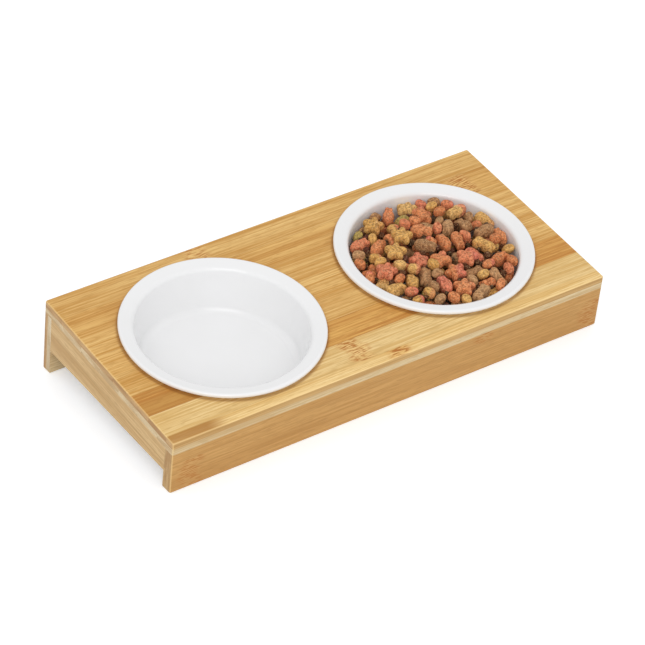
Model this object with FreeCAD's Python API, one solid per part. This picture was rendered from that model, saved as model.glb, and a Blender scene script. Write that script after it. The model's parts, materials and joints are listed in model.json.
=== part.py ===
import FreeCAD, Part
import math
import os
import random

# Slanted stand, in millimetres: the bowls and the wood round them set its length and depth
rim_diameter = 140.0
bowl_gap = 33.5
end_margin = 18.25
front_margin = 9.0
back_margin = 12.0
front_height = 43.5
back_height = 59.7
edge_round = 1.5

# Two glued plies in every board
board_face_ply = 5.0
board_under_ply = 5.0
plank_face_ply = 4.5
plank_inner_ply = 4.5
apron_face_ply = 4.5
apron_inner_ply = 4.5

# Ground clearance under the side aprons
apron_clear_front = 14.0
apron_clear_back = 19.5

# Bamboo strips: every ply starts with a strip of its own width, and the others share the rest
board_face_first = 8.0
board_face_count = 8
board_under_first = 19.0
board_under_count = 7
front_face_first = 8.0
front_inner_first = 17.0
front_count = 2
back_face_first = 14.0
back_face_count = 3
back_inner_first = 25.0
back_inner_count = 2
apron_face_first = 12.0
apron_inner_first = 9.0
apron_count = 2

# Hidden dowels
dowel_diameter = 5.0
dowel_fit = 0.1
dowel_end_gap = 0.5
dowel_cover = 2.5
dowel_in_plank = 14.0
dowel_in_apron = 12.0
plank_dowel_inset = 25.0
plank_dowel_count = 5
apron_dowel_shares = (0.335, 0.665)
apron_dowel_drop_share = 0.62

# Drop-in bowls
rim_width = 10.5
rim_height = 5.0
rim_edge = 3.4
rim_fall = 2.6
rim_round = 1.6
rim_seat = 2.8
lip_round = 3.5
bowl_depth = 35.5
wall_thickness = 4.2
wall_lean = 5.0
floor_thickness = 4.5
floor_round = 5.5
heel_round = 9.0
foot_inset = 12.7
foot_width = 4.0
foot_height = 2.0
small_round = 0.6
seat_gap = 0.2
hole_clearance = 1.2

# Kibble: outlines as reach shares at even angles from nose to tail
star_size = 16.0
star_thickness = 6.5
star_shares = (1.0, 0.80, 0.58, 0.80, 1.0, 0.80, 0.58, 0.80, 1.0, 0.80, 0.58)
fish_size = 17.0
fish_thickness = 7.5
fish_shares = (0.86, 0.80, 0.68, 0.58, 0.52, 0.49, 0.47, 0.46, 0.45, 0.46, 0.62, 0.98, 0.86)
cross_size = 15.5
cross_thickness = 7.0
cross_shares = (1.0, 0.82, 0.56, 0.82, 1.0, 0.82, 0.56, 0.82, 1.0)
bone_size = 16.5
bone_thickness = 7.5
bone_shares = (0.88, 1.0, 0.88, 0.55, 0.42, 0.38, 0.36, 0.38, 0.42, 0.55, 0.88, 1.0, 0.88)
oval_size = 9.0
oval_thickness = 6.0
oval_shares = (1.0, 0.93, 0.80, 0.70, 0.66, 0.70, 0.80, 0.93, 1.0)
ball_size = 11.0
ball_thickness = 10.0
ball_shares = (1.0, 1.0, 1.0, 1.0, 1.0)
star_portion_share = 0.24
fish_portion_share = 0.32
cross_portion_share = 0.20
bone_portion_share = 0.21
ball_portion_share = 0.03
oval_portion_share = 1.0
pillow_height_shares = (-0.5, -0.32, 0.0, 0.32, 0.5)
pillow_reach_shares = (0.72, 0.92, 1.0, 0.92, 0.72)

# Pile of kibble in the right bowl
fill_below_rim_middle = -2.0
fill_below_rim_wall = 3.0
kibble_gap = 0.25
pile_cell = 0.5
pile_seed = 1
pile_pitch = 9.5
fill_pitch = 5.0
pile_wall_gap = 2.5
pile_shift = 3.0
pile_poses = 30
pile_tries = 60
pile_outward_share = 1.0
tip_most_degrees = 50.0

overrun = 20.0

# Levels and edges in the board's own frame: x along it, y up the slope, z out of its top
stand_length = 2 * (end_margin + rim_diameter) + bowl_gap
board_depth = front_margin + rim_diameter + back_margin
slope = math.asin((back_height - front_height) / board_depth)
mid_height = (front_height + back_height) / 2
left = -stand_length / 2
right = stand_length / 2
front = -board_depth / 2
back = board_depth / 2
board_thickness = board_face_ply + board_under_ply
plank_thickness = plank_face_ply + plank_inner_ply
apron_thickness = apron_face_ply + apron_inner_ply
underside = -board_thickness
front_inside = front + plank_thickness
back_inside = back - plank_thickness
opening_radius = rim_diameter / 2 - rim_width
bowl_floor = rim_height - bowl_depth
hole_radius = opening_radius + wall_thickness + hole_clearance
bowl_reach = (bowl_gap + rim_diameter) / 2
bowl_x = {"left_bowl": -bowl_reach, "right_bowl": bowl_reach}
bowl_y = (front_margin - back_margin) / 2

nodes = {}


def point(x, y, z):
    return FreeCAD.Vector(x, y, z)


def level(y, height):
    """Place out of the board, at a place up the slope, that lies at a height over the ground."""
    return (height - mid_height - y * math.sin(slope)) / math.cos(slope)


def box(x0, x1, y0, y1, z0, z1):
    return Part.makeBox(x1 - x0, y1 - y0, z1 - z0, point(x0, y0, z0))


def spread(start, end, count):
    return [start + (end - start) * index / (count - 1) for index in range(count)]


def rounded_wire(corners):
    """Closed wire through corners, each with the radius that rounds it."""
    edges = []
    ends = []
    for index, (corner, radius) in enumerate(corners):
        before = (corners[index - 1][0] - corner).normalize()
        after = (corners[(index + 1) % len(corners)][0] - corner).normalize()
        if not radius:
            ends.append((corner, corner))
            continue
        half = before.getAngle(after) / 2
        reach = radius / math.tan(half)
        middle = corner + (before + after).normalize() * (radius / math.sin(half) - radius)
        ends.append((corner + before * reach, corner + after * reach))
        edges.append(Part.Arc(ends[-1][0], middle, ends[-1][1]).toShape())
    for index, (start, _) in enumerate(ends):
        edges.append(Part.LineSegment(ends[index - 1][1], start).toShape())
    return Part.Wire(Part.__sortEdges__(edges))


def lengthwise_prism(corners, x0, x1):
    """Solid with one section, given as (y, z, radius) corners, all along x."""
    wire = rounded_wire([(point(x0, y, z), radius) for y, z, radius in corners])
    return Part.Face(wire).extrude(point(x1 - x0, 0, 0))


# Outer shape of the whole stand, with eased edges

def stand_envelope():
    corners = [
        (front, 0, 0),
        (back, 0, 0),
        (back, level(back, 0), 0),
        (front, level(front, 0), 0),
    ]
    block = lengthwise_prism(corners, left, right)
    return block.makeFillet(edge_round, block.Edges)


# Dowels and the holes that they are glued in

def dowel(seat, direction, depth_back, depth_ahead):
    """A dowel across a joint at its seat, and the hole drilled for it from both pieces."""
    radius = dowel_diameter / 2
    start = seat - direction * (depth_back - dowel_end_gap)
    peg = Part.makeCylinder(radius, depth_back + depth_ahead - 2 * dowel_end_gap, start, direction)
    drill = Part.makeCylinder(
        radius + dowel_fit, depth_back + depth_ahead, seat - direction * depth_back, direction
    )
    return peg, drill


def make_dowels():
    """Dowels up into the board from planks and aprons, and out of the aprons' ends into the planks."""
    up = point(0, 0, 1)
    in_board = board_thickness - dowel_cover
    in_plank_side = plank_thickness - dowel_cover
    plank_run = spread(left + plank_dowel_inset, right - plank_dowel_inset, plank_dowel_count)
    apron_run = [front_inside + (back_inside - front_inside) * share for share in apron_dowel_shares]
    groups = {}
    for side, y in (("front", front + plank_thickness / 2), ("back", back - plank_thickness / 2)):
        pegs = [dowel(point(x, y, underside), up, dowel_in_plank, in_board) for x in plank_run]
        groups[f"{side}_plank_dowels"] = pegs
    for side, x in (("left", left + apron_thickness / 2), ("right", right - apron_thickness / 2)):
        pegs = [dowel(point(x, y, underside), up, dowel_in_apron, in_board) for y in apron_run]
        for y, clear, ahead in (
            (front_inside, apron_clear_front, point(0, -1, 0)),
            (back_inside, apron_clear_back, point(0, 1, 0)),
        ):
            drop = (underside - level(y, clear)) * apron_dowel_drop_share
            pegs.append(dowel(point(x, y, underside - drop), ahead, dowel_in_apron, in_plank_side))
        groups[f"{side}_apron_dowels"] = pegs
    drills = []
    for name, pairs in groups.items():
        nodes[name] = Part.makeCompound([peg for peg, drill in pairs])
        drills += [drill for peg, drill in pairs]
    return drills


# Boards, each glued up from two plies of strips

def strip_lines(start, end, first, count):
    """Glue lines across a ply: a first strip, then even ones."""
    return [start] + spread(start + first, end, count)


def add_board(name, board, plies, drills):
    """Cut a board into its plies and strips, and drill the strips."""
    for ply, blocks in plies.items():
        for number, block in enumerate(blocks, 1):
            strip = board.common(block).cut(drills)
            nodes[f"{name}_{ply}_strip_{number}"] = Part.makeCompound(strip.Solids)


def board_strips(z0, z1, first, count):
    lines = strip_lines(front, back, first, count)
    return [box(left, right, y0, y1, z0, z1) for y0, y1 in zip(lines, lines[1:])]


def hanging_strips(x0, x1, y0, y1, depth, first, count):
    """Blocks for strips that lie below each other under the board."""
    lines = strip_lines(0, depth, first, count)
    lines[-1] += overrun
    return [box(x0, x1, y0, y1, underside - low, underside - high) for high, low in zip(lines, lines[1:])]


def make_top_board(envelope, drills):
    board = envelope.common(box(left, right, front, back, underside, 0))
    for x in bowl_x.values():
        foot = point(x, bowl_y, underside - overrun)
        board = board.cut(Part.makeCylinder(hole_radius, board_thickness + 2 * overrun, foot))
    plies = {
        "face": board_strips(-board_face_ply, 0, board_face_first, board_face_count),
        "under": board_strips(underside, -board_face_ply, board_under_first, board_under_count),
    }
    add_board("board", board, plies, drills)


def make_plank(name, envelope, drills, outer, inner, seam, face_strips, inner_strips):
    """A plank under the board's front or back edge, flush with it and cut off level with the ground."""
    corners = [
        (outer, underside, 0),
        (inner, underside, 0),
        (inner, level(inner, 0), edge_round),
        (outer, level(outer, 0), 0),
    ]
    plank = envelope.common(lengthwise_prism(corners, left, right))
    depth = underside - max(level(outer, 0), level(inner, 0))
    face_side = (min(outer, seam), max(outer, seam))
    inner_side = (min(inner, seam), max(inner, seam))
    plies = {
        "face": hanging_strips(left, right, *face_side, depth, *face_strips),
        "inner": hanging_strips(left, right, *inner_side, depth, *inner_strips),
    }
    add_board(name, plank, plies, drills)


def make_apron(name, envelope, drills, outer, inner, seam):
    """A side apron between the planks, with a lower edge that clears the ground."""
    low_front = level(front_inside, apron_clear_front)
    low_back = level(back_inside, apron_clear_back)
    corners = [
        (front_inside, underside, 0),
        (back_inside, underside, 0),
        (back_inside, low_back, 0),
        (front_inside, low_front, 0),
    ]
    apron = lengthwise_prism(corners, min(outer, inner), max(outer, inner))
    middle = (underside + (low_front + low_back) / 2) / 2
    lower = [edge for edge in apron.Edges if edge.BoundBox.YLength > apron_thickness]
    lower = [edge for edge in lower if edge.CenterOfMass.z < middle]
    apron = envelope.common(apron.makeFillet(edge_round, lower))
    depth = underside - low_back
    run = (front_inside, back_inside, depth)
    face_side = (min(outer, seam), max(outer, seam))
    inner_side = (min(inner, seam), max(inner, seam))
    plies = {
        "face": hanging_strips(*face_side, *run, apron_face_first, apron_count),
        "inner": hanging_strips(*inner_side, *run, apron_inner_first, apron_count),
    }
    add_board(name, apron, plies, drills)


def make_stand():
    envelope = stand_envelope()
    drills = make_dowels()
    make_top_board(envelope, drills)
    make_plank(
        "front_plank", envelope, drills, front, front_inside, front + plank_face_ply,
        (front_face_first, front_count), (front_inner_first, front_count),
    )
    make_plank(
        "back_plank", envelope, drills, back, back_inside, back - plank_face_ply,
        (back_face_first, back_face_count), (back_inner_first, back_inner_count),
    )
    make_apron("left_apron", envelope, drills, left, left + apron_thickness, left + apron_face_ply)
    make_apron("right_apron", envelope, drills, right, right - apron_thickness, right - apron_face_ply)


# Bowls, turned about their own axis

def make_bowl():
    rim_radius = rim_diameter / 2
    floor_radius = opening_radius - wall_lean
    base = bowl_floor - floor_thickness
    foot_radius = floor_radius + wall_thickness - foot_inset
    corners = [
        (0, bowl_floor, 0),
        (floor_radius, bowl_floor, floor_round),
        (opening_radius, rim_height - rim_fall, lip_round),
        (rim_radius, rim_height, rim_round),
        (rim_radius, rim_height - rim_edge, rim_round),
        (opening_radius + wall_thickness + rim_seat, seat_gap, small_round),
        (opening_radius + wall_thickness, seat_gap, small_round),
        (floor_radius + wall_thickness, base, heel_round),
        (foot_radius, base, 0),
        (foot_radius, base - foot_height, small_round),
        (foot_radius - foot_width, base - foot_height, small_round),
        (foot_radius - foot_width, base, 0),
        (0, base, 0),
    ]
    wire = rounded_wire([(point(radius, 0, z), rounding) for radius, z, rounding in corners])
    full_turn = 360
    return Part.Face(wire).revolve(point(0, 0, 0), point(0, 0, 1), full_turn)


def inside_level(radius):
    """Height of a bowl's inner face at a distance from its axis."""
    floor_radius = opening_radius - wall_lean
    wall = math.atan2(rim_height - rim_fall - bowl_floor, wall_lean)
    flat = floor_radius - floor_round / math.tan((math.pi - wall) / 2)
    if radius <= flat:
        return bowl_floor
    across = (radius - flat) / floor_round
    if across < math.sin(wall):
        return bowl_floor + floor_round * (1 - math.sqrt(1 - across * across))
    return bowl_floor + (radius - floor_radius) * math.tan(wall)


# Kibble shapes

def kibble(size, thickness, reach_shares):
    """A pillow-sided morsel whose outline is mirrored from half a turn of reach shares."""
    steps = len(reach_shares) - 1
    shares = list(reach_shares) + list(reach_shares[-2:0:-1])
    wires = []
    for height_share, section_share in zip(pillow_height_shares, pillow_reach_shares):
        reach = size / 2 * section_share
        ring = []
        for index, share in enumerate(shares):
            angle = math.pi * index / steps
            spoke = point(math.cos(angle), math.sin(angle), 0) * (reach * share)
            ring.append(spoke + point(0, 0, thickness * height_share))
        curve = Part.BSplineCurve()
        curve.interpolate(Points=ring, PeriodicFlag=True)
        wires.append(Part.Wire(curve.toShape()))
    return Part.makeLoft(wires, True, False)


def skin_points(solid):
    """Points all over a solid's skin, closer together than the pile's cells."""
    spacing = pile_cell / 2
    corners, facets = solid.tessellate(spacing)
    points = {}
    for first, second, third in facets:
        across = corners[second] - corners[first]
        along = corners[third] - corners[first]
        steps = int(max(across.Length, along.Length, (across - along).Length) / spacing) + 1
        for i in range(steps + 1):
            for j in range(steps + 1 - i):
                spot = corners[first] + across * (i / steps) + along * (j / steps)
                points[tuple(round(place / spacing) for place in spot)] = spot
    return list(points.values())


class Pose:
    """A kibble turned one way: its lowest and highest skin over each cell of the pile."""

    def __init__(self, kind, turn, points, row):
        self.kind = kind
        self.turn = turn
        under = {}
        over = {}
        for spot in points:
            turned = turn.multVec(spot)
            cell = (math.floor(turned.x / pile_cell), math.floor(turned.y / pile_cell))
            over[cell] = max(turned.z, over.get(cell, turned.z))
            for x in (turned.x - kibble_gap, turned.x + kibble_gap):
                for y in (turned.y - kibble_gap, turned.y + kibble_gap):
                    cell = (math.floor(x / pile_cell), math.floor(y / pile_cell))
                    under[cell] = min(turned.z, under.get(cell, turned.z))
        self.under = [(i + j * row, lowest - kibble_gap) for (i, j), lowest in under.items()]
        self.over = [(i + j * row, highest) for (i, j), highest in over.items()]
        self.top = max(over.values())


def ring_spots(pitch, draw):
    """Even spots over the bowl, on rings that start at its wall."""
    spots = []
    radius = opening_radius - wall_lean / 2 - pile_wall_gap
    while radius > 0:
        count = max(1, round(2 * math.pi * radius / pitch))
        start = draw.random()
        for index in range(count):
            angle = 2 * math.pi * (index + start) / count
            spots.append(point(math.cos(angle), math.sin(angle), 0) * radius)
        radius -= pitch
    draw.shuffle(spots)
    return spots


def heap_levels(reach):
    """Levels of the bowl's inner face and the heap's dome over each cell, and the pull to the wall."""
    ground = []
    dome = []
    pull = []
    for j in range(-reach, reach + 1):
        for i in range(-reach, reach + 1):
            radius = pile_cell * math.hypot(i, j)
            away = (radius / opening_radius) ** 2
            fall = fill_below_rim_middle + (fill_below_rim_wall - fill_below_rim_middle) * away
            dome.append(rim_height - fall)
            pull.append(rim_height - fall + pile_outward_share * radius)
            ground.append(inside_level(radius) if radius < opening_radius else math.inf)
    return ground, dome, pull


def turned_poses(kinds, draw, row):
    """Each kind of kibble, turned and tipped in many ways."""
    poses = {}
    for name, (solid, _) in kinds.items():
        points = skin_points(solid)
        poses[name] = []
        for _ in range(pile_poses):
            heading = draw.uniform(0, 2 * math.pi)
            level_axis = point(math.cos(heading), math.sin(heading), 0)
            tip = FreeCAD.Rotation(level_axis, tip_most_degrees * draw.random())
            yaw = FreeCAD.Rotation(point(0, 0, 1), math.degrees(draw.uniform(-math.pi, math.pi)))
            poses[name].append(Pose(name, tip.multiply(yaw), points, row))
    return poses


def lowest_rest(poses, middle, row, ground, dome, pull, draw):
    """The pose and cell near a spot where a kibble comes to lie deepest or furthest out, if any."""
    shift = round(pile_shift / pile_cell)
    best = None
    for _ in range(pile_tries):
        pose = draw.choice(poses)
        start = middle + draw.randint(-shift, shift) + draw.randint(-shift, shift) * row
        room = dome[start] - pose.top
        if ground[start] > room:
            continue
        rest = max(ground[start + cell] - lowest for cell, lowest in pose.under)
        score = rest + pose.top - pull[start]
        if rest < room and (best is None or score < best[0]):
            best = (score, rest, pose, start)
    return best


def pour(kinds, rounds):
    """Drop kibble over even spots, layer by layer, until no more of a round's kinds fits under the dome."""
    draw = random.Random(pile_seed)
    reach = math.ceil((opening_radius + overrun) / pile_cell)
    row = 2 * reach + 1
    ground, dome, pull = heap_levels(reach)
    poses = turned_poses(kinds, draw, row)
    poured = []
    for names, pitch in rounds:
        weights = [kinds[name][1] for name in names]
        landed = True
        while landed:
            landed = False
            for spot in ring_spots(pitch, draw):
                middle = reach + round(spot.x / pile_cell) + (reach + round(spot.y / pile_cell)) * row
                name = draw.choices(names, weights)[0]
                best = lowest_rest(poses[name], middle, row, ground, dome, pull, draw)
                if best is None:
                    continue
                landed = True
                _, rest, pose, start = best
                for cell, highest in pose.over:
                    ground[start + cell] = max(ground[start + cell], rest + highest)
                place = point(start % row - reach, start // row - reach, 0) * pile_cell
                poured.append((pose, place + point(0, 0, rest)))
    return poured


def make_kibble():
    kinds = {
        "kibble_stars": (kibble(star_size, star_thickness, star_shares), star_portion_share),
        "kibble_fish": (kibble(fish_size, fish_thickness, fish_shares), fish_portion_share),
        "kibble_crosses": (kibble(cross_size, cross_thickness, cross_shares), cross_portion_share),
        "kibble_bones": (kibble(bone_size, bone_thickness, bone_shares), bone_portion_share),
        "kibble_balls": (kibble(ball_size, ball_thickness, ball_shares), ball_portion_share),
        "kibble_ovals": (kibble(oval_size, oval_thickness, oval_shares), oval_portion_share),
    }
    large = [name for name in kinds if name != "kibble_ovals"]
    middle = point(bowl_x["right_bowl"], bowl_y, 0)
    heap = {name: [] for name in kinds}
    for pose, place in pour(kinds, [(large, pile_pitch), (["kibble_ovals"], fill_pitch)]):
        placement = FreeCAD.Placement(place + middle, pose.turn)
        heap[pose.kind].append(kinds[pose.kind][0].transformed(placement.Matrix, True))
    for name, solids in heap.items():
        nodes[name] = Part.makeCompound(solids)


make_stand()
for bowl_name, x in bowl_x.items():
    nodes[bowl_name] = make_bowl().translated(point(x, bowl_y, 0))
make_kibble()

# Tilt the board's frame to the slope, with the origin under the middle of the stand's box
incline = FreeCAD.Rotation(point(1, 0, 0), math.degrees(slope))
tilted = stand_envelope().transformed(FreeCAD.Placement(point(0, 0, 0), incline).Matrix, True)
extent = tilted.optimalBoundingBox()
seat = FreeCAD.Placement(point(0, -(extent.YMin + extent.YMax) / 2, mid_height), incline)

os.makedirs("parts", exist_ok=True)
for node, shape in nodes.items():
    shape.transformed(seat.Matrix, True).exportStep(f"parts/{node}.step")
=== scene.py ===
import json
import math
import random

import bmesh
import bpy
import numpy as np
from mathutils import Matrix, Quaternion, Vector, noise
from mathutils.bvhtree import BVHTree
from mathutils.kdtree import KDTree


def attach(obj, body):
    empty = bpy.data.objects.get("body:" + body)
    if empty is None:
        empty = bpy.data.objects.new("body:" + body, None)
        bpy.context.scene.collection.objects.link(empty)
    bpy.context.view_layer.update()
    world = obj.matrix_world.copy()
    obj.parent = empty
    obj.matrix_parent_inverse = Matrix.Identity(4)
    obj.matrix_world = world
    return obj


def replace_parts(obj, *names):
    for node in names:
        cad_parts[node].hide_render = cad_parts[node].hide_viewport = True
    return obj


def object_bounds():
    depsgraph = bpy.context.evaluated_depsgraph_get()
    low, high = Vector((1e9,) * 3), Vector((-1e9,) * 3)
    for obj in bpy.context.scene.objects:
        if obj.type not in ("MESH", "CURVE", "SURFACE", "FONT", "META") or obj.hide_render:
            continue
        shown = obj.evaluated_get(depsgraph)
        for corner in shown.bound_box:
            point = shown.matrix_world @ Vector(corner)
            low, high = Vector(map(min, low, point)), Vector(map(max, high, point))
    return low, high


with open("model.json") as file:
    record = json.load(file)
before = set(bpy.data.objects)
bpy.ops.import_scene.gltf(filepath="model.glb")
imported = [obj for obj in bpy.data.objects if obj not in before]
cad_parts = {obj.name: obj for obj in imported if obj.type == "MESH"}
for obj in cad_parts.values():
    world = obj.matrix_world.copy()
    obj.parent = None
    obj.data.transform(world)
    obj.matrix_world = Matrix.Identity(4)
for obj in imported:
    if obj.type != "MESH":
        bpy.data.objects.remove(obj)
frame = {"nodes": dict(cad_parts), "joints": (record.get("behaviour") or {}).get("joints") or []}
cad_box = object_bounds()
scene = bpy.context.scene
cad = frame["nodes"]
bowls = ("left_bowl", "right_bowl")
mm = 0.001
white = (1.0, 1.0, 1.0, 1.0)

# View of the photograph, a square picture
image_pixels = 645
focal_pixels = 3211.4
sensor_width = 36.0
view_azimuth = math.radians(-35.47)
view_elevation = math.radians(36.008)
view_roll = math.radians(1.9156)
view_distance = 2.18821
view_target = Vector((-0.00494, -0.00378, 0.025))
view_end = 100.0

# The board leans to the front: its normal is the way that the bowls lift
board_normal = Vector(frame["joints"][0]["axis"])
slope = math.atan2(-board_normal.y, board_normal.z)
board_axes = (Vector((1, 0, 0)), Vector((0, math.cos(slope), math.sin(slope))), board_normal)
level_turn = (-slope, 0, 0)
stand_left = cad_box[0].x

# Light: most of it comes from all round, the rest from a wide lamp over the camera
ambient_level = 0.78
key_place = (-1.5, -2.3, 2.3)
key_width = 2.4
key_power = 34.0
floor_half = 12.0
floor_white = (0.83, 0.86, 0.90, 1.0)
floor_glow = 0.38


def linear(value):
    """Linear light of one 0 to 255 screen value."""
    share = value / 255
    return share / 12.92 if share <= 0.04045 else ((share + 0.055) / 1.055) ** 2.4


def screen(red, green, blue):
    """Linear colour of three 0 to 255 screen values."""
    return (linear(red), linear(green), linear(blue), 1.0)


def dimmed(colour, share):
    return tuple(channel * share for channel in colour[:3]) + (1.0,)


def blended(first, second, share):
    return tuple(a + (b - a) * share for a, b in zip(first, second))


def clamped(value):
    return min(1.0, max(0.0, value))


class Finish:
    """A material in the making: adds nodes and joins them to its shader."""

    def __init__(self, name):
        self.material = bpy.data.materials.new(name)
        self.material.use_nodes = True
        self.tree = self.material.node_tree
        self.shader = self.tree.nodes["Principled BSDF"]

    def plug(self, socket, value):
        if isinstance(value, bpy.types.NodeSocket):
            self.tree.links.new(value, socket)
        else:
            socket.default_value = value

    def add(self, kind, inputs, output=0, **settings):
        made = self.tree.nodes.new("ShaderNode" + kind)
        for key, value in settings.items():
            setattr(made, key, value)
        for key, value in inputs.items():
            self.plug(made.inputs[key], value)
        return made.outputs[output]

    def reckon(self, operation, *values):
        return self.add("Math", dict(enumerate(values)), operation=operation)

    def apart(self, value, other):
        """How far two values are from each other."""
        return self.reckon("ABSOLUTE", self.reckon("SUBTRACT", value, other))

    def blend(self, share, first, second, way="MIX"):
        settings = {"data_type": "RGBA", "blend_type": way}
        return self.add("Mix", {0: share, 6: first, 7: second}, output=2, **settings)

    def tint(self, colour, by):
        return self.blend(1.0, colour, by, "MULTIPLY")

    def rise(self, value, start, end, top=1.0):
        """0 up to start, top from end on, eased between them."""
        inputs = {"Value": value, "From Min": start, "From Max": end, "To Max": top}
        return self.add("MapRange", inputs, interpolation_type="SMOOTHSTEP")

    def fall(self, value, start, end, top=1.0):
        """Top up to start, 0 from end on, eased between them."""
        return self.reckon("SUBTRACT", top, self.rise(value, start, end, top))

    def spread(self, value, low, high):
        """A 0 to 1 value laid over another range."""
        return self.add("MapRange", {"Value": value, "To Min": low, "To Max": high})

    def component(self, vector, axis):
        return self.add("SeparateXYZ", {0: vector}, output=axis)

    def vector(self, operation, *values, output=0):
        return self.add("VectorMath", dict(enumerate(values)), output=output, operation=operation)

    def grain(self, place, per_metre, detail=2.0, roughness=0.5):
        """Noise with its own frequency along each axis."""
        stretched = self.vector("MULTIPLY", place, per_metre)
        inputs = {"Vector": stretched, "Scale": 1.0, "Detail": detail, "Roughness": roughness}
        return self.add("TexNoise", inputs)

    def finish(self, colour, roughness, height, depth, strength):
        """Join colour, roughness and a bump of a real depth to the shader."""
        self.plug(self.shader.inputs["Base Color"], colour)
        self.plug(self.shader.inputs["Roughness"], roughness)
        inputs = {"Height": height, "Distance": depth, "Strength": strength}
        self.plug(self.shader.inputs["Normal"], self.add("Bump", inputs))
        return self.material


# Bamboo: glued strips with fibres along them, knuckles across them and cut vessels at their ends

# A pale and a deep colour for each tone, and how much lighter or darker a strip may be
bamboo_tones = {
    "honey": (screen(240, 199, 128), screen(204, 149, 73)),
    "straw": (screen(249, 218, 157), screen(220, 177, 105)),
    "gold": (screen(233, 188, 114), screen(198, 141, 67)),
    "amber": (screen(233, 181, 99), screen(197, 132, 58)),
    "toffee": (screen(209, 162, 98), screen(188, 139, 77)),
    "cream": (screen(236, 212, 166), screen(214, 180, 128)),
    "tan": (screen(226, 192, 138), screen(198, 157, 101)),
}
strip_shades = (0.93, 1.07)
# Painted highlight along the rounded edges
edge_highlight_tone = bamboo_tones["straw"][0]
pore_tone = screen(184, 116, 50)
# Painted contact shadow round each bowl's rim on the board
rim_shadow_tone = screen(140, 86, 40)
stain_tone = screen(176, 121, 54)
sawn_tones = (screen(212, 172, 112), screen(190, 146, 86))

# Cut ends by the words in a strip's name, the first that fits, or else the plain ones
inner_end = (screen(226, 202, 160), screen(202, 168, 120))
plain_end = (screen(208, 168, 116), screen(182, 138, 88))
end_tones = {
    "front_plank": (screen(210, 174, 120), screen(182, 140, 88)),
    "back_plank_inner": (screen(228, 208, 172), screen(204, 178, 138)),
    "under": inner_end,
    "inner": inner_end,
}

# Strips that stand out: their tone and their knuckles, each by its mm from the stand's left end, with its
# strength and the tone round it
strip_looks = {
    "board_face_strip_1": ("straw", {180: (1.0, "amber")}),
    "board_face_strip_2": ("straw", {155: (0.95, "honey")}),
    "board_face_strip_3": ("amber", {}),
    "board_face_strip_7": ("gold", {322: (1.0, "honey")}),
    "board_face_strip_8": ("honey", {114: (0.8, "honey")}),
    "front_plank_face_strip_1": ("toffee", {250: (0.8, "toffee")}),
    "front_plank_face_strip_2": ("toffee", {15: (0.8, "toffee"), 342: (0.8, "toffee")}),
}
family_tones = {
    "board_face": "honey",
    "board_under": "cream",
    "apron": "tan",
    "plank_inner": "cream",
    "plank_face": "toffee",
}

# Stains from the left end: full up to the first length, gone at the second, and how strong
stains = {
    "board_face_strip_1": (28 * mm, 48 * mm, 0.85),
    "board_face_strip_3": (30 * mm, 170 * mm, 0.55),
}

# Frequencies per metre, along the fibres and across them
fibre_rates = (12, 700)
band_rates = (4, 120)
drift_rates = (14, 40)
dash_rates = (110, 1000)
pore_rates = (170, 1200)

# Frequencies per metre along each axis; the layers run the way that the strips lie side by side
wander_rates = (0, 190, 190)
vessel_rates = (1500, 1500, 1500)
layer_rates = {1: (60, 40, 300), 2: (60, 300, 40)}
seed_steps = (0.731, 0.417, 0.293)

# Where a value starts to show, where it shows fully and, if not all of it, how strongly
fibre_span = (0.36, 0.64)
drift_span = (0.45, 0.75, 0.24)
dash_span = (0.52, 0.68, 0.42)
pore_span = (0.44, 0.60)
stain_span = (0.25, 0.5)
sawn_span = (0.35, 0.65)
layer_span = (0.35, 0.65)
vessel_span = (0.52, 0.66, 0.3)
sawn_facing = (0.80, 0.97)
end_facing = (0.75, 0.95)

# Where a mark is still full, where it is gone and how strong it is
knuckle_reach = (4 * mm, 11 * mm)
# The painted contact shadow round each rim
rim_shadow_reach = (0.0, 2.2 * mm, 0.55)
glue_reach = (0.1 * mm, 0.6 * mm, 0.25)
# The painted highlight on edges that face along no axis
edge_highlight_facing = (0.80, 0.97, 0.45)

# How the wood's colours mix, how far a knuckle wavers, and the wood's sheen and relief
fibre_share = 0.65
dash_shade = 0.85
glue_shade = 0.7
vessel_shade = 0.55
knuckle_wander = 12 * mm
patch_share = 0.5
wood_gloss = 0.22
wood_roughness = (0.42, 0.58)
fibre_depth = 0.05 * mm
fibre_bump = 0.5
dowel_seed = 77


def by_family(name, table, otherwise=None):
    """The first row of a table whose key is in a piece's name."""
    return next((row for family, row in table.items() if family in name), otherwise)


def reach(name, axis):
    """How far a node reaches along an axis of the leaning board."""
    places = [board_axes[axis].dot(corner.co) for corner in cad[name].data.vertices]
    return min(places), max(places)


def rim_circle(name):
    """The middle of a bowl's rim along the leaning board's axes, and its radius."""
    left, right = reach(name, 0)
    low, high = reach(name, 1)
    return ((left + right) / 2, (low + high) / 2, 0), (right - left) / 2


def glue_lines(name, axis):
    """Where a strip meets the next ones of its own layer."""
    family = name.rsplit("_", 1)[0] + "_"
    layer = [reach(other, axis) for other in cad if other.startswith(family)]
    ends = min(low for low, high in layer), max(high for low, high in layer)
    return [edge for edge in reach(name, axis) if min(abs(edge - end) for end in ends) > mm]


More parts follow.
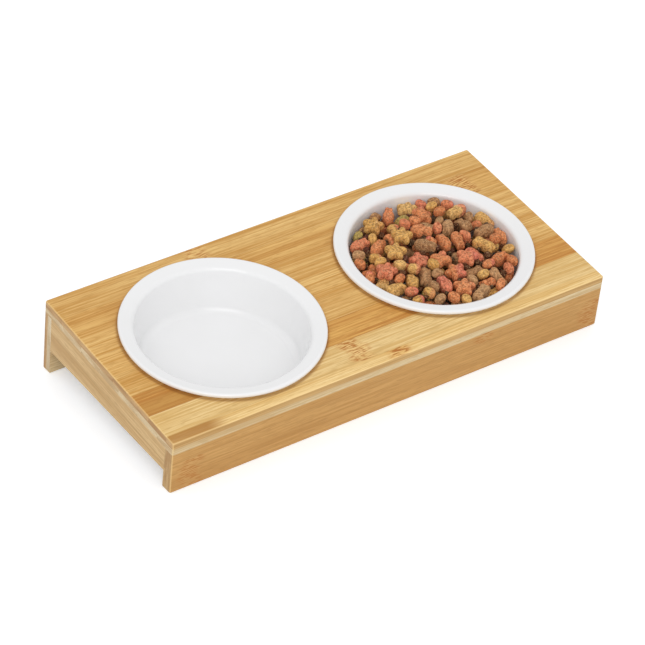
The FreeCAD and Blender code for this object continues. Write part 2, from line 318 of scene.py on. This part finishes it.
class Bamboo(Finish):
    """The finish of one strip. Each lay call puts a colour over those before it."""

    def __init__(self, name, tone, seed):
        super().__init__(name)
        self.name = name
        shade = random.Random(seed).uniform(*strip_shades)
        self.pale, self.deep = [dimmed(colour, shade) for colour in bamboo_tones[tone]]
        self.fibre_axis = 1 if "apron" in name else 0
        self.strip_axis = 1 if name.startswith("board") else 2
        self.place = self.add("TexCoord", {}, output="Object")
        self.lying = self.add("Mapping", {"Vector": self.place, "Rotation": level_turn})
        self.own = self.vector("ADD", self.lying, tuple(seed * step for step in seed_steps))
        self.fibres = self.streaks(fibre_rates, detail=3.0, roughness=0.65)
        self.bands = self.streaks(band_rates, detail=2.0)
        facing = self.add("NewGeometry", {}, output="True Normal")
        inputs = {"Vector": facing, "Rotation": level_turn}
        turned = self.add("Mapping", inputs, vector_type="VECTOR")
        self.sides = [self.reckon("ABSOLUTE", self.component(turned, axis)) for axis in "XYZ"]
        self.colour = self.deep

    def streaks(self, rates, detail, roughness=0.5):
        """Noise with one frequency along the fibres and one across them."""
        along, across = rates
        per_metre = tuple(along if axis == self.fibre_axis else across for axis in range(3))
        return self.grain(self.own, per_metre, detail, roughness)

    def lay(self, share, colour):
        self.colour = self.blend(share, self.colour, colour)

    def lay_fibres(self):
        drift = self.streaks(drift_rates, detail=1.0)
        dashes = self.streaks(dash_rates, detail=1.0)
        banded = self.reckon("MULTIPLY", self.bands, 1 - fibre_share)
        mixed = self.reckon("MULTIPLY_ADD", self.fibres, fibre_share, banded)
        self.lay(self.rise(mixed, *fibre_span), self.pale)
        self.lay(self.rise(drift, *drift_span), self.deep)
        self.lay(self.rise(dashes, *dash_span), dimmed(self.deep, dash_shade))

    def lay_knuckles(self, knuckles):
        """Wavering bands of short dashes across the strip, each on a patch of its own tone."""
        spot = self.component(self.place, "X")
        wander = self.grain(self.own, wander_rates)
        pores = self.rise(self.streaks(pore_rates, detail=1.0), *pore_span)
        for mark, (strength, tone_round) in knuckles.items():
            still = -knuckle_wander / 2 - stand_left - mark * mm
            off = self.reckon("MULTIPLY_ADD", wander, knuckle_wander, still)
            away = self.reckon("ABSOLUTE", self.reckon("ADD", spot, off))
            near = self.fall(away, *knuckle_reach)
            self.lay(self.reckon("MULTIPLY", near, patch_share), bamboo_tones[tone_round][0])
            dashes = self.reckon("MULTIPLY", near, pores)
            self.lay(self.reckon("MULTIPLY", dashes, strength), pore_tone)

    def lay_stain(self, start, end, strength):
        from_left = self.reckon("SUBTRACT", self.component(self.place, "X"), stand_left)
        fading = self.fall(from_left, start, end, strength)
        streaky = self.rise(self.bands, *stain_span)
        self.lay(self.reckon("MULTIPLY", fading, streaky), stain_tone)

    def lay_rim_shadows(self):
        """Painted contact shadow: a soft brown ring on the board round each bowl's rim."""
        shares = []
        for bowl in bowls:
            middle, radius = rim_circle(bowl)
            flat = self.vector("MULTIPLY", self.vector("SUBTRACT", self.lying, middle), (1, 1, 0))
            out = self.vector("LENGTH", flat, output="Value")
            shares.append(self.fall(self.apart(out, radius), *rim_shadow_reach))
        self.lay(self.reckon("MAXIMUM", *shares), rim_shadow_tone)

    def lay_glue_lines(self):
        across = self.component(self.lying, "XYZ"[self.strip_axis])
        for edge in glue_lines(self.name, self.strip_axis):
            line = self.fall(self.apart(across, edge), *glue_reach)
            self.lay(line, dimmed(self.deep, glue_shade))

    def lay_sawn_edges(self):
        """The board's front and back edges, sawn along the fibres."""
        sawn_pale, sawn_deep = sawn_tones
        sawn = self.blend(self.rise(self.fibres, *sawn_span), sawn_deep, sawn_pale)
        self.lay(self.rise(self.sides[1], *sawn_facing), sawn)

    def lay_ends(self):
        """The cut ends, with their layers and open vessels."""
        end_pale, end_deep = by_family(self.name, end_tones, plain_end)
        layers = self.rise(self.grain(self.own, layer_rates[self.strip_axis]), *layer_span)
        vessels = self.rise(self.grain(self.own, vessel_rates, detail=1.0), *vessel_span)
        cut = self.blend(layers, end_deep, end_pale)
        cut = self.blend(vessels, cut, dimmed(end_deep, vessel_shade))
        self.lay(self.rise(self.sides[self.fibre_axis], *end_facing), cut)

    def lay_edge_highlights(self):
        """Painted highlight on the rounded edges, which face along no axis."""
        first, second, third = self.sides
        square = self.reckon("MAXIMUM", self.reckon("MAXIMUM", first, second), third)
        self.lay(self.fall(square, *edge_highlight_facing), edge_highlight_tone)


def bamboo(name, tone, seed, knuckles):
    wood = Bamboo(name, tone, seed)
    on_board = name.startswith("board_face")
    wood.lay_fibres()
    if knuckles:
        wood.lay_knuckles(knuckles)
    if name in stains:
        wood.lay_stain(*stains[name])
    if on_board:
        wood.lay_rim_shadows()
    if "strip" in name:
        wood.lay_glue_lines()
    if on_board:
        wood.lay_sawn_edges()
    wood.lay_ends()
    wood.lay_edge_highlights()
    wood.shader.inputs["Specular IOR Level"].default_value = wood_gloss
    roughness = wood.spread(wood.fibres, *wood_roughness)
    return wood.finish(wood.colour, roughness, wood.fibres, fibre_depth, fibre_bump)


def wear(node, material):
    node.data.materials.clear()
    node.data.materials.append(material)


def dress_strips():
    for seed, (name, node) in enumerate(sorted(cad.items())):
        if "strip" in name:
            tone, knuckles = strip_looks.get(name, (by_family(name, family_tones), {}))
            wear(node, bamboo(name, tone, seed, knuckles))


def dress_dowels():
    finish = bamboo("dowel_wood", "cream", dowel_seed, {})
    for name, node in cad.items():
        if name.endswith("_dowels"):
            wear(node, finish)


# Bowls: thick white glaze, a little wavy and clouded

glaze_tones = (screen(240, 240, 240), screen(244, 244, 245))
glaze_roughness = (0.14, 0.24)
cloud_rates = (25, 25, 25)
wave_rates = (420, 420, 420)
wave_depth = 0.02 * mm
wave_bump = 0.4


def glaze():
    glass = Finish("white_glaze")
    place = glass.add("TexCoord", {}, output="Object")
    cloud = glass.grain(place, cloud_rates, detail=3.0)
    waves = glass.grain(place, wave_rates, detail=2.0)
    colour = glass.blend(cloud, *glaze_tones)
    return glass.finish(colour, glass.spread(cloud, *glaze_roughness), waves, wave_depth, wave_bump)


def dress_bowls():
    finish = glaze()
    for name in bowls:
        wear(cad[name], finish)


# Kibble: every baked piece is remeshed from its solid, then made lumpy, pitted and coloured

# The even skin, the sizes and depths of its lumps, grit and pits, and how far it may swell
skin_cell = 0.55 * mm
skin_softness = 0.5
same_point = 0.001 * mm
lump_size = 5.0 * mm
grit_size = 1.5 * mm
pit_size = 2.0 * mm
lump_depth = 0.3 * mm
grit_depth = 0.14 * mm
pit_depth = 0.35 * mm
swell = 0.15 * mm
most_proud = 0.25 * mm
fine_scale = 2.1
fine_share = 0.5
pit_edge = 0.32
pit_power = 1.5
noise_room = 50

# How far the food stays off the bowl, and how far from the bowl that is looked at
wall_clear = 0.1 * mm
wall_reach = 1.0 * mm

crusts = {
    "salmon": [screen(228, 148, 98), screen(220, 138, 88), screen(226, 134, 104), screen(212, 132, 84)],
    "tan": [screen(226, 177, 104), screen(214, 164, 90), screen(234, 190, 120)],
    "brown": [screen(186, 140, 98), screen(172, 128, 88), screen(196, 152, 108)],
    "olive": [screen(182, 160, 88)],
}

# Each kind of piece: its node, and how many of ten pieces bake to each colour
kibble_kinds = {
    "star_kibble": ("kibble_stars", {"salmon": 9, "tan": 1}),
    "cross_kibble": ("kibble_crosses", {"salmon": 8, "tan": 2}),
    "fish_kibble": ("kibble_fish", {"tan": 3, "brown": 3, "salmon": 4}),
    "bone_kibble": ("kibble_bones", {"brown": 7, "tan": 3}),
    "oval_kibble": ("kibble_ovals", {"tan": 3, "salmon": 5, "brown": 2}),
    "ball_kibble": ("kibble_balls", {"olive": 10}),
}
kibble_seed = 11

# The one olive piece that shows, at the left of the right bowl
olive_place = Vector((0.0498, 0.0362, 0.0516))
olive_reach = 7.0 * mm

# Some pieces of these colours turn pink towards one end, with a ragged border
blushing = ("tan", "salmon")
blush_colour = screen(228, 124, 110)
blush_chance = 0.4
blush_start = 0.05
blush_fade = 0.4
blush_ragged = 0.5

# The crust's frequencies per metre, its tints, among them painted shade in the hollows and a painted
# highlight on the ridges, and spans as for the wood
mottle_rates = (600, 600, 600)
fleck_rates = (1300, 1300, 1300)
grit_rates = (1900, 1900, 1900)
grain_rate = 1200.0
mottle_span = (0.36, 0.62)
fleck_span = (0.56, 0.68, 0.5)
grain_span = (0.40, 0.85, 0.42)
pit_span = (0.35, 1.0, 0.6)
ridge_highlight_span = (0.50, 0.58, 0.5)
mottle_dark = (0.56, 0.48, 0.42, 1.0)
mottle_pale = (1.22, 1.20, 1.16, 1.0)
fleck_tone = screen(238, 208, 160)
# Painted shade in the pits and between the grains
painted_hollow_shade = (0.32, 0.24, 0.20, 1.0)
# Painted highlight on the ridges
painted_ridge_highlight = (1.25, 1.25, 1.2, 1.0)
crust_gloss = 0.25
crust_roughness = (0.75, 0.95)
crust_depth = 0.25 * mm
crust_bump = 0.7
grain_dent = -0.7

# Crumbs: the least and the most room round their middle, how far they press into the pieces, how lumpy
# they are, how far their crust is darkened as painted shade of the deep gaps, and the scales of their
# lumps
crumb_least = 1.1 * mm
crumb_most = 2.4 * mm
crumb_press = 0.25 * mm
crumb_lumps = 0.4
crumb_painted_shade = 0.15
crumb_crusts = ("salmon", "brown")
crumb_coarse = 1.3
crumb_fine = 3.1
crumb_seed = 5
crumb_tries = 40000

# Where a crumb may lie: its top this deep under the highest piece around it, found among one in
# heap_share of the points, and with pieces within reach on all its sides; an openness of 0 is closed
# in evenly
crumb_depth = 2.5 * mm
crumb_around = 7.0 * mm
heap_share = 20
crumb_reach = 2.0 * mm
crumb_openness = 0.25


def linked(first, corners, left):
    """The corners joined to a first one, taken out of those that are left."""
    order = [first]
    left.discard(first)
    for index in order:
        for edge in corners[index].link_edges:
            other = edge.other_vert(corners[index]).index
            if other in left:
                left.discard(other)
                order.append(other)
    return order


def skins(mesh):
    """The closed skins of a mesh, each as its points and faces."""
    whole = bmesh.new()
    whole.from_mesh(mesh)
    bmesh.ops.remove_doubles(whole, verts=whole.verts, dist=same_point)
    whole.verts.ensure_lookup_table()
    corners = whole.verts
    left = set(range(len(corners)))
    found = []
    for first in range(len(corners)):
        if first not in left:
            continue
        order = linked(first, corners, left)
        renamed = {old: new for new, old in enumerate(order)}
        faces = {face for old in order for face in corners[old].link_faces}
        faces = sorted(faces, key=lambda face: face.index)
        points = [corners[old].co.copy() for old in order]
        found.append((points, [[renamed[corner.index] for corner in face.verts] for face in faces]))
    whole.free()
    return found


def remeshed(points, faces):
    """Points, outward directions and faces of an even skin round one piece."""
    rough = bpy.data.meshes.new("rough")
    rough.from_pydata(points, [], faces)
    piece = bpy.data.objects.new("rough", rough)
    scene.collection.objects.link(piece)
    even = piece.modifiers.new("even", "REMESH")
    even.mode = "VOXEL"
    even.voxel_size = skin_cell
    soft = piece.modifiers.new("soft", "SMOOTH")
    soft.factor = skin_softness
    soft.iterations = 1
    depsgraph = bpy.context.evaluated_depsgraph_get()
    result = bpy.data.meshes.new_from_object(piece.evaluated_get(depsgraph))
    places = [point.co.copy() for point in result.vertices]
    outward = [point.normal.copy() for point in result.vertices]
    sides = [list(face.vertices) for face in result.polygons]
    bpy.data.objects.remove(piece)
    bpy.data.meshes.remove(rough)
    bpy.data.meshes.remove(result)
    return places, outward, sides


def long_way(places):
    """A piece's middle, the direction of its length, and half that length."""
    spots = np.array([tuple(place) for place in places])
    middle = spots.mean(axis=0)
    ways = np.linalg.eigh(np.cov((spots - middle).T))[1]
    way = ways[:, 2] * (1 if ways[0, 2] >= 0 else -1)
    half = np.abs((spots - middle) @ way).max()
    return Vector(middle), Vector(way), float(half)


def noise_place(draw):
    """A place of a piece's own in the noise."""
    return Vector([draw.uniform(0, noise_room) for _ in range(3)])


def two_noises(coarse, fine, own):
    return noise.noise(coarse + own) + fine_share * noise.noise(fine + own)


def bake(places, outward, crust, blush, draw):
    """One piece made rough: its points, their colours, and how deep in a pit each lies."""
    own = noise_place(draw)
    middle, way, half = long_way(places)
    points, colours, pits = [], [], []
    for place, out in zip(places, outward):
        lump = noise.noise(place / lump_size + own)
        grit = two_noises(place / grit_size, place / grit_size * fine_scale, own)
        nearest = noise.voronoi(place / pit_size + own)[0][0]
        pit = max(0.0, 1 - nearest / pit_edge) ** pit_power
        depth = swell + lump * lump_depth + grit * grit_depth - pit * pit_depth
        points.append(place + out * min(depth, most_proud))
        pits.append(clamped(-depth / pit_depth))
        ragged = blush_ragged * noise.noise(place / lump_size - own)
        end = (place - middle).dot(way) / half + ragged
        share = clamped((end - blush_start) / blush_fade) * blush
        colours.append(blended(crust, blush_colour, share))
    return points, colours, pits


def bowl_wall():
    """The skin of the bowl that holds the food."""
    bowl = cad["right_bowl"].data
    corners = [corner.co for corner in bowl.vertices]
    return BVHTree.FromPolygons(corners, [face.vertices for face in bowl.polygons])


def off_wall(point, wall):
    """A point itself or, too near the wall, the nearest place that clears it."""
    spot, out = wall.find_nearest(point, wall_reach)[:2]
    if spot is None or (point - spot).dot(out) >= wall_clear:
        return point
    return spot + out * wall_clear


def kibble_finish(name):
    food = Finish(name)
    place = food.add("TexCoord", {}, output="Object")
    crust = food.add("Attribute", {}, output="Color", attribute_name="crust")
    pit = food.add("Attribute", {}, output="Fac", attribute_name="pit")
    ridge = food.add("NewGeometry", {}, output="Pointiness")
    mottle = food.grain(place, mottle_rates, detail=3.0, roughness=0.65)
    flecks = food.grain(place, fleck_rates, detail=1.0)
    grit = food.grain(place, grit_rates, detail=3.0, roughness=0.7)
    grains = food.add("TexVoronoi", {"Vector": place, "Scale": grain_rate})
    shade = food.blend(food.rise(mottle, *mottle_span), mottle_dark, mottle_pale)
    colour = food.tint(crust, shade)
    colour = food.blend(food.rise(flecks, *fleck_span), colour, fleck_tone)
    # Painted shade: the crust darkened in the pits and between the grains
    hollow_shaded = food.tint(colour, painted_hollow_shade)
    colour = food.blend(food.rise(grains, *grain_span), colour, hollow_shaded)
    colour = food.blend(food.rise(pit, *pit_span), colour, hollow_shaded)
    # Painted highlight: the crust brightened on convex ridges
    colour = food.blend(food.rise(ridge, *ridge_highlight_span), colour, food.tint(crust, painted_ridge_highlight))
    height = food.reckon("MULTIPLY_ADD", grains, grain_dent, grit)
    food.shader.inputs["Specular IOR Level"].default_value = crust_gloss
    return food.finish(colour, food.spread(mottle, *crust_roughness), height, crust_depth, crust_bump)


class Batch:
    """The pieces of one kind, gathered into a single mesh."""

    def __init__(self):
        self.points, self.faces, self.colours, self.pits = [], [], [], []

    def take(self, points, faces, colours, pits):
        first = len(self.points)
        self.points += points
        self.faces += [[first + corner for corner in face] for face in faces]
        self.colours += colours
        self.pits += pits

    def serve(self, name):
        """The mesh as an object that moves with the food."""
        mesh = bpy.data.meshes.new(name)
        mesh.from_pydata(self.points, [], self.faces)
        crust = mesh.attributes.new("crust", "FLOAT_COLOR", "POINT")
        crust.data.foreach_set("color", np.ravel(self.colours))
        pit = mesh.attributes.new("pit", "FLOAT", "POINT")
        pit.data.foreach_set("value", self.pits)
        mesh.polygons.foreach_set("use_smooth", [True] * len(mesh.polygons))
        mesh.materials.append(kibble_finish(name))
        piece = bpy.data.objects.new(name, mesh)
        scene.collection.objects.link(piece)
        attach(piece, "food")
        return piece


def baked_colour(middle, shares, draw):
    """The colour that a piece bakes to, and how strongly one end of it blushes."""
    baked = draw.choices(list(shares), weights=list(shares.values()))[0]
    if (middle - olive_place).length < olive_reach:
        baked = "olive"
    crust = blended(draw.choice(crusts[baked]), draw.choice(crusts[baked]), draw.random())
    blush = draw.random() if baked in blushing and draw.random() < blush_chance else 0.0
    return crust, blush


def make_kibble():
    """Every kind of piece; gives the points and outward directions of all of them."""
    draw = random.Random(kibble_seed)
    wall = bowl_wall()
    heap, heap_outward = [], []
    for name, (node, shares) in kibble_kinds.items():
        batch = Batch()
        for rough_points, rough_faces in skins(cad[node].data):
            places, outward, sides = remeshed(rough_points, rough_faces)
            middle = sum(places, Vector()) / len(places)
            crust, blush = baked_colour(middle, shares, draw)
            points, colours, pits = bake(places, outward, crust, blush, draw)
            points = [off_wall(point, wall) for point in points]
            batch.take(points, sides, colours, pits)
            heap += points
            heap_outward += outward
        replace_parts(batch.serve(name), node)
    return heap, heap_outward


def tree_of(points):
    """A tree that finds the points near a spot."""
    tree = KDTree(len(points))
    for index, point in enumerate(points):
        tree.insert(point, index)
    tree.balance()
    return tree


class Gaps:
    """The room between the pieces of the heap and the bowl."""

    def __init__(self, heap, outward):
        self.outward = outward
        self.tree = tree_of(heap)
        self.sparse = tree_of(heap[::heap_share])
        self.wall = bowl_wall()
        self.low = [min(point[axis] for point in heap) for axis in range(3)]
        self.high = [max(point[axis] for point in heap) for axis in range(3)]

    def half_width(self, spot):
        """Half the width of a crumb that fits at a spot, or None."""
        near, index, gap = self.tree.find(spot)
        inside = (spot - near).dot(self.outward[index]) < 0
        if inside or not crumb_least < gap < crumb_most:
            return None
        half = gap + crumb_press
        wall_spot, wall_out, _, wall_gap = self.wall.find_nearest(spot)
        in_wall = (spot - wall_spot).dot(wall_out) < 0
        if in_wall or wall_gap < half * (1 + crumb_lumps):
            return None
        return half

    def is_deep(self, spot, half):
        """Whether the pieces around a crumb rise well over it."""
        around = self.sparse.find_range(spot, crumb_around)
        over = [board_normal.dot(near[0] - spot) for near in around]
        return bool(over) and max(over) >= half + crumb_depth

    def is_held(self, spot, half):
        """Whether the pieces and the wall lie on all sides of a crumb."""
        touching = self.tree.find_range(spot, half + crumb_reach)
        around = [(near[0] - spot).normalized() for near in touching]
        wall_spot, _, _, wall_gap = self.wall.find_nearest(spot)
        if wall_gap < half + crumb_reach:
            around += [(wall_spot - spot).normalized()] * len(around)
        return bool(around) and (sum(around, Vector()) / len(around)).length < crumb_openness


def crumb_spots(gaps, draw):
    """Middles and half widths of crumbs that fill the gaps inside the heap."""
    found = []
    for _ in range(crumb_tries):
        spot = Vector([draw.uniform(gaps.low[axis], gaps.high[axis]) for axis in range(3)])
        half = gaps.half_width(spot)
        if half is None:
            continue
        if any((spot - other).length < size + half - crumb_press for other, size in found):
            continue
        if gaps.is_deep(spot, half) and gaps.is_held(spot, half):
            found.append((spot, half))
    return found


def make_crumbs(heap, outward):
    draw = random.Random(crumb_seed)
    ball = bmesh.new()
    bmesh.ops.create_icosphere(ball, subdivisions=3, radius=1.0)
    ways = [corner.co.normalized() for corner in ball.verts]
    sides = [[corner.index for corner in face.verts] for face in ball.faces]
    ball.free()
    batch = Batch()
    for spot, half in crumb_spots(Gaps(heap, outward), draw):
        own = noise_place(draw)
        bumps = [two_noises(way * crumb_coarse, way * crumb_fine, own) for way in ways]
        lumps = [1 + crumb_lumps * bump for bump in bumps]
        # Painted shade: each crumb's crust is darkened like the deep gap it fills
        crust = dimmed(draw.choice(crusts[draw.choice(crumb_crusts)]), crumb_painted_shade)
        points = [spot + way * half * lump for way, lump in zip(ways, lumps)]
        batch.take(points, sides, [crust] * len(ways), [max(0.0, 1 - lump) for lump in lumps])
    batch.serve("crumbs")


# Stage: a white floor that keeps the shadow, soft light from above, and the photograph's view

def seen_rays(tree):
    """1 for rays that show the background itself, in the picture or in a gloss."""
    path = tree.nodes.new("ShaderNodeLightPath")
    seen = path.outputs["Is Camera Ray"]
    for kind in ("Is Glossy Ray", "Is Transmission Ray"):
        either = tree.nodes.new("ShaderNodeMath")
        either.operation = "MAXIMUM"
        tree.links.new(seen, either.inputs[0])
        tree.links.new(path.outputs[kind], either.inputs[1])
        seen = either.outputs[0]
    return seen


def make_floor():
    mesh = bpy.data.meshes.new("floor")
    ways = ((-1, -1), (1, -1), (1, 1), (-1, 1))
    corners = [(x * floor_half, y * floor_half, 0.0) for x, y in ways]
    mesh.from_pydata(corners, [], [(0, 1, 2, 3)])
    floor = bpy.data.objects.new("floor", mesh)
    scene.collection.objects.link(floor)
    paper = Finish("floor_paper")
    paper.shader.inputs["Base Color"].default_value = floor_white
    paper.shader.inputs["Roughness"].default_value = 1.0
    paper.shader.inputs["Specular IOR Level"].default_value = 0.0
    paper.shader.inputs["Emission Color"].default_value = white
    glow = paper.reckon("MULTIPLY", seen_rays(paper.tree), floor_glow)
    paper.plug(paper.shader.inputs["Emission Strength"], glow)
    mesh.materials.append(paper.material)


def make_world():
    world = bpy.data.worlds.new("studio")
    scene.world = world
    world.use_nodes = True
    tree = world.node_tree
    background = tree.nodes["Background"]
    background.inputs["Color"].default_value = white
    level = tree.nodes.new("ShaderNodeMapRange")
    level.inputs["To Min"].default_value = ambient_level
    level.inputs["To Max"].default_value = 1.0
    tree.links.new(seen_rays(tree), level.inputs["Value"])
    tree.links.new(level.outputs[0], background.inputs["Strength"])


def make_lamp():
    light = bpy.data.lights.new("key", "AREA")
    light.shape = "DISK"
    light.size = key_width
    light.energy = key_power
    lamp = bpy.data.objects.new("key", light)
    lamp.location = key_place
    lamp.rotation_mode = "QUATERNION"
    lamp.rotation_quaternion = (-Vector(key_place)).to_track_quat("-Z", "Y")
    scene.collection.objects.link(lamp)


def make_camera():
    data = bpy.data.cameras.new("photo_camera")
    data.sensor_width = sensor_width
    data.lens = focal_pixels / image_pixels * sensor_width
    data.clip_end = view_end
    camera = bpy.data.objects.new("photo_camera", data)
    level = math.cos(view_elevation)
    right = math.sin(view_azimuth) * level
    ahead = -math.cos(view_azimuth) * level
    back = Vector((right, ahead, math.sin(view_elevation)))
    camera.location = view_target + back * view_distance
    camera.rotation_mode = "QUATERNION"
    turn = (-back).to_track_quat("-Z", "Y")
    camera.rotation_quaternion = turn @ Quaternion((0, 0, 1), view_roll)
    scene.collection.objects.link(camera)
    scene.camera = camera


scene.view_settings.view_transform = "Standard"
make_camera()
make_world()
make_floor()
make_lamp()
dress_strips()
dress_dowels()
dress_bowls()
make_crumbs(*make_kibble())
